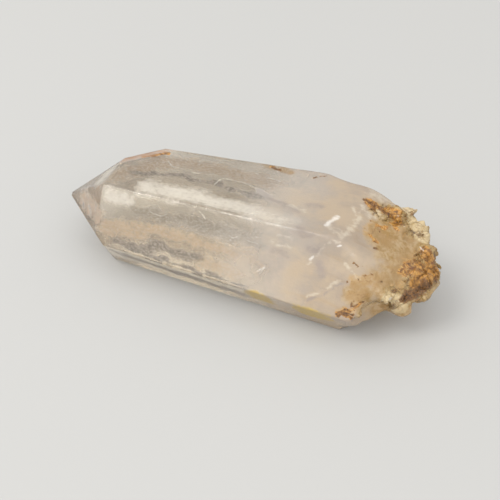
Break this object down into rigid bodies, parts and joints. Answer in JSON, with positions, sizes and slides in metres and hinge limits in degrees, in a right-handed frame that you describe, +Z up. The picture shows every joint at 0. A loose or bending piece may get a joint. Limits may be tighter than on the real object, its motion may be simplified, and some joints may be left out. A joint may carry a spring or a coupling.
{
  "type": "brandberg quartz crystal",
  "caption": "Clear to milky six-sided quartz point lying on a side face, with a broken, iron-stained crystalline base.",
  "frame": {"origin": "centre of the outline on the resting face, at the bottom", "axes": "+X along the crystal's long axis towards the broken base, the point looks along -X; +Z up from the resting face; -Y is the side seen in the picture"},
  "size_m": [0.0686, 0.027, 0.0172],
  "materials": {
    "quartz_crystal": "vitreous, clear at the point and milky with ochre and rust stains at the base"
  },
  "bodies": {
    "root": {"quartz_crystal": "quartz_crystal"}
  },
  "joints": []
}
